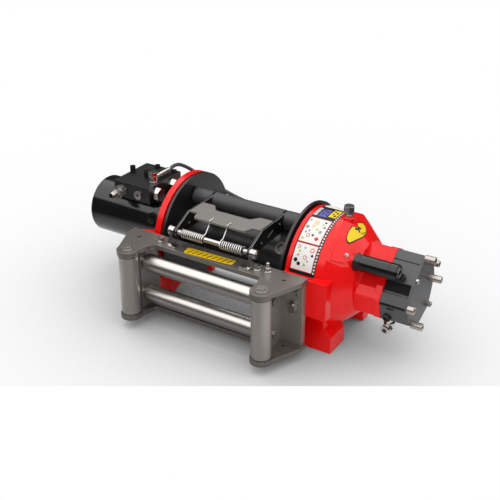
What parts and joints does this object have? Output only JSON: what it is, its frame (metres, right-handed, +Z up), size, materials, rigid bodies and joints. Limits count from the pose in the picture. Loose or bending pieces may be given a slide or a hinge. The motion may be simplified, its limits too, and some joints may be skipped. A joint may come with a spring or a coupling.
{
  "type": "hydraulic winch",
  "caption": "Hydraulic planetary recovery winch with a red cast housing, black drum, roller fairlead, sprung rope tensioner, valve block and air clutch cylinder.",
  "frame": {"origin": "on the floor, at the centre of the four foot bolt holes, straight below the middle of the drum", "axes": "X runs along the drum axis towards the red gear housing and the motor, Y to the rear away from the roller fairlead, Z up"},
  "size_m": [0.829, 0.404, 0.303],
  "materials": {
    "red_paint": "gloss red paint",
    "black_paint": "satin black paint",
    "bare_steel": "dull rolled steel",
    "polished_steel": "ground and polished",
    "zinc": "bright zinc plating",
    "black_rubber": "hose rubber"
  },
  "bodies": {
    "frame": {"left_support": "red_paint", "right_housing": "red_paint", "gear_cylinder": "black_paint", "gear_end_cap": "black_paint", "cylinder_plug": "black_paint", "valve_saddle": "black_paint", "valve_block": "black_paint", "port_adapter": "zinc", "port_plug": "zinc", "cartridge_front": "zinc", "cartridge_rear": "zinc", "valve_screws": "black_paint", "hose_banjo": "zinc", "brake_hose": "black_rubber", "tie_rod_rear": "black_paint", "fairlead_top": "bare_steel", "fairlead_bottom": "bare_steel", "roller_bracket_left": "bare_steel", "roller_bracket_right": "bare_steel", "side_plate_left": "bare_steel", "side_plate_right": "bare_steel", "vertical_pins": "zinc", "horizontal_pins": "zinc", "tensioner_lugs": "zinc", "tensioner_shaft": "polished_steel", "shaft_collars": "polished_steel", "clutch_cylinder": "black_paint", "breather": "zinc", "grease_fitting": "zinc", "motor_body": "black_paint", "motor_cover": "black_paint", "motor_elbow": "zinc"},
    "drum": {"drum_barrel": "black_paint", "drum_flange_left": "black_paint", "drum_flange_right": "black_paint", "rope_pocket_rim": "bare_steel"},
    "left_roller": {"vertical_roller_left": "bare_steel"},
    "right_roller": {"vertical_roller_right": "bare_steel"},
    "top_roller": {"upper_roller": "polished_steel"},
    "bottom_roller": {"lower_roller": "polished_steel"},
    "tensioner": {"tension_arm_left": "bare_steel", "tension_arm_right": "bare_steel", "pressure_plate": "bare_steel", "spring_left": "polished_steel", "spring_right": "polished_steel"},
    "press_roller": {"pressure_roller": "black_paint"}
  },
  "joints": [
    {"name": "drum_spin", "type": "hinge", "parent": "frame", "child": "drum", "pos_m": [0, 0, 0.154], "axis": [1, 0, 0], "continuous": true},
    {"name": "left_roller_spin", "type": "hinge", "parent": "frame", "child": "left_roller", "pos_m": [-0.168, -0.227, 0.107], "axis": [0, 0, 1], "continuous": true},
    {"name": "right_roller_spin", "type": "hinge", "parent": "frame", "child": "right_roller", "pos_m": [0.168, -0.227, 0.107], "axis": [0, 0, 1], "continuous": true},
    {"name": "top_roller_spin", "type": "hinge", "parent": "frame", "child": "top_roller", "pos_m": [0, -0.186, 0.145], "axis": [1, 0, 0], "continuous": true},
    {"name": "bottom_roller_spin", "type": "hinge", "parent": "frame", "child": "bottom_roller", "pos_m": [0, -0.186, 0.068], "axis": [1, 0, 0], "continuous": true},
    {"name": "tensioner_lift", "type": "hinge", "parent": "frame", "child": "tensioner", "pos_m": [0, -0.15, 0.219], "axis": [1, 0, 0], "range_deg": [0, 25], "stiffness_Nm_per_rad": 40, "springref_deg": -20.05},
    {"name": "press_roller_spin", "type": "hinge", "parent": "tensioner", "child": "press_roller", "pos_m": [0, -0.004, 0.2374], "axis": [1, 0, 0], "continuous": true}
  ]
}
